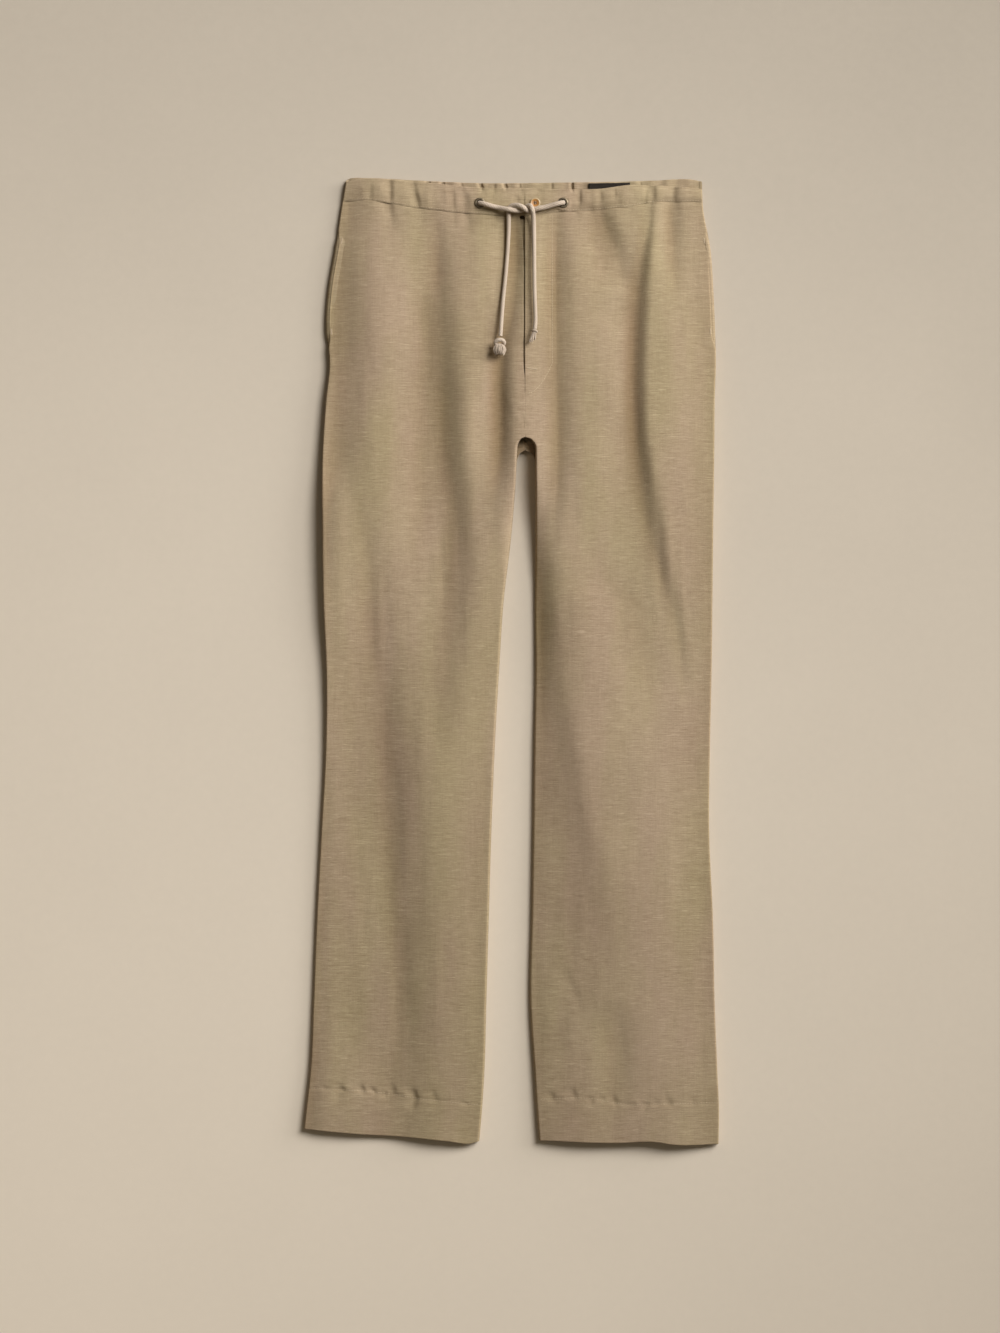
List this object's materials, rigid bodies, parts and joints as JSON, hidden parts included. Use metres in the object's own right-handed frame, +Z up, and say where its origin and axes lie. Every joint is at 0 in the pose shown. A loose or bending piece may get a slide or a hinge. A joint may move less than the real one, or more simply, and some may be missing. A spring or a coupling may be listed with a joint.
{
  "type": "drawstring trousers",
  "caption": "Linen drawstring trousers laid flat and face up, with a button fly, side pockets, cased waist, straight legs and deep hems.",
  "frame": {"origin": "on the surface the trousers lie on, under the middle of their whole length and width", "axes": "+Y from the hems towards the waist, +Z up out of the front, +X towards the wearer's left leg"},
  "size_m": [0.4645, 1.0833, 0.0302],
  "materials": {
    "linen": "plain-weave linen with slubs, matte, warm sand brown",
    "label": "plain dark woven tab, matte",
    "cord": "off-white braided cotton",
    "brass": "antique brass, worn bright at the rim",
    "horn": "brown horn-like disc with a paler rim"
  },
  "bodies": {
    "root": {"back_left": "linen", "back_right": "linen", "fly_shield": "linen", "front_left": "linen", "front_right": "linen", "pocket_facing_left": "linen", "pocket_facing_right": "linen", "waistband_back": "linen", "waistband_front_left": "linen", "waistband_front_right": "linen", "label": "label", "button": "horn", "eyelet_left": "brass", "eyelet_right": "brass", "cord_left": "cord", "cord_right": "cord", "end_knot": "cord", "end_tuft": "cord"}
  },
  "joints": []
}
